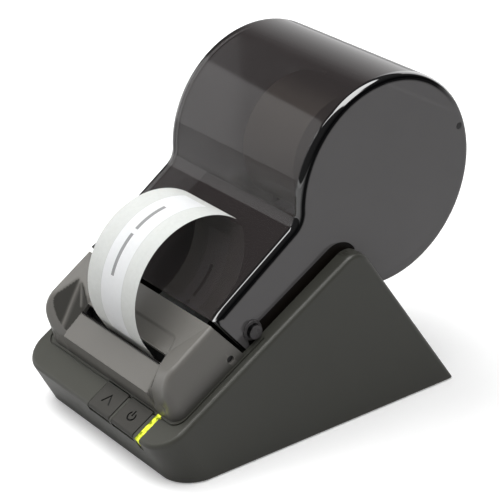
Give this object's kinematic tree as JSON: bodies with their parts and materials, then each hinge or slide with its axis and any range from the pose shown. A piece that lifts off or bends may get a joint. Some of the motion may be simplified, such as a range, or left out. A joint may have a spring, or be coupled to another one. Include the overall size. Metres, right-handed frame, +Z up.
{
  "type": "thermal label printer",
  "caption": "Desktop thermal label printer: a sloping wedge base, a smoked cover hinged over the label roll, a slotted print cover, and two front buttons with a status light.",
  "frame": {"origin": "centre of the printer's bounding box on the floor", "axes": "+X to the printer's right, +Y from its front to its rear, +Z up"},
  "size_m": [0.106, 0.173, 0.1522],
  "materials": {
    "base_plastic": "fine satin texture",
    "bottom_plastic": "fine matte texture",
    "steel_screws": "zinc plated",
    "foot_rubber": "matte",
    "inner_plastic": "satin",
    "print_cover_plastic": "satin with a slight metallic sheen",
    "dark_screws": "black oxide",
    "tear_steel": "stamped",
    "frame_steel": "zinc plated",
    "head_ceramic": "glazed edge",
    "heatsink_aluminium": "cast",
    "spring_steel": "ground",
    "platen_rubber": "ground satin",
    "bush_brass": "turned",
    "gear_plastic": "moulded nylon",
    "motor_steel": "drawn can",
    "spool_plastic": "satin",
    "roll_paper": "matte",
    "label_paper": "matte",
    "cover_smoke": "glossy smoked clear plastic",
    "stud_plastic": "glossy",
    "button_plastic": "satin",
    "circuit_board": "solder mask",
    "chip_plastic": "moulded",
    "light_guide": "clear, lit from inside",
    "led_plastic": "clear",
    "socket_metal": "plated shell"
  },
  "bodies": {
    "base": {"base_shell": "base_plastic", "bottom_cover": "bottom_plastic", "bottom_screws": "steel_screws", "rubber_feet": "foot_rubber", "deck": "inner_plastic", "deck_screws": "steel_screws", "roll_trough": "inner_plastic", "left_arm": "inner_plastic", "right_arm": "inner_plastic", "inner_housing": "inner_plastic", "print_cover": "print_cover_plastic", "print_cover_screws": "dark_screws", "tear_bar": "tear_steel", "mech_frame": "frame_steel", "print_head": "head_ceramic", "head_heatsink": "heatsink_aluminium", "head_springs": "spring_steel", "platen_bushes": "bush_brass", "stepper_motor": "motor_steel", "label_strip": "label_paper", "hinge_pins": "steel_screws", "button_board": "circuit_board", "button_switches": "chip_plastic", "status_light": "light_guide", "status_led": "led_plastic", "main_board": "circuit_board", "board_parts": "chip_plastic", "io_board": "circuit_board", "usb_socket": "socket_metal", "dc_inlet": "chip_plastic", "label_sensor": "chip_plastic"},
    "cover": {"roll_cover": "cover_smoke", "latch_studs": "stud_plastic"},
    "spool": {"spool_core": "spool_plastic", "left_flange": "spool_plastic", "right_flange": "spool_plastic", "label_roll": "roll_paper"},
    "platen": {"platen_shaft": "spring_steel", "platen_rubber": "platen_rubber", "platen_gear": "gear_plastic"},
    "idler": {"idler_gear": "gear_plastic"},
    "motor": {"motor_pinion": "bush_brass"},
    "feed_key": {"feed_button": "button_plastic"},
    "power_key": {"power_button": "button_plastic"}
  },
  "joints": [
    {"name": "cover_hinge", "type": "hinge", "parent": "base", "child": "cover", "pos_m": [0, 0.07941, 0.1198], "axis": [-1, 0, 0], "range_deg": [0, 100], "deforming": ["label_strip"]},
    {"name": "spool_spin", "type": "hinge", "parent": "base", "child": "spool", "pos_m": [0, 0.03924, 0.10648], "axis": [1, 0, 0], "continuous": true},
    {"name": "platen_spin", "type": "hinge", "parent": "base", "child": "platen", "pos_m": [0, -0.05769, 0.04334], "axis": [1, 0, 0], "continuous": true},
    {"name": "idler_spin", "type": "hinge", "parent": "base", "child": "idler", "pos_m": [0, -0.04418, 0.03834], "axis": [1, 0, 0], "continuous": true},
    {"name": "motor_spin", "type": "hinge", "parent": "base", "child": "motor", "pos_m": [0, -0.04128, 0.0267], "axis": [1, 0, 0], "continuous": true},
    {"name": "feed_button_press", "type": "slide", "parent": "base", "child": "feed_key", "axis": [0, 0.515, -0.8572], "range_m": [0, 0.0008], "stiffness_N_per_m": 300},
    {"name": "power_button_press", "type": "slide", "parent": "base", "child": "power_key", "axis": [0, 0.515, -0.8572], "range_m": [0, 0.0008], "stiffness_N_per_m": 300}
  ],
  "couplings": [
    {"joint": "idler_spin", "follows": "platen_spin", "ratio": -0.71429},
    {"joint": "motor_spin", "follows": "platen_spin", "ratio": 1.6667}
  ]
}
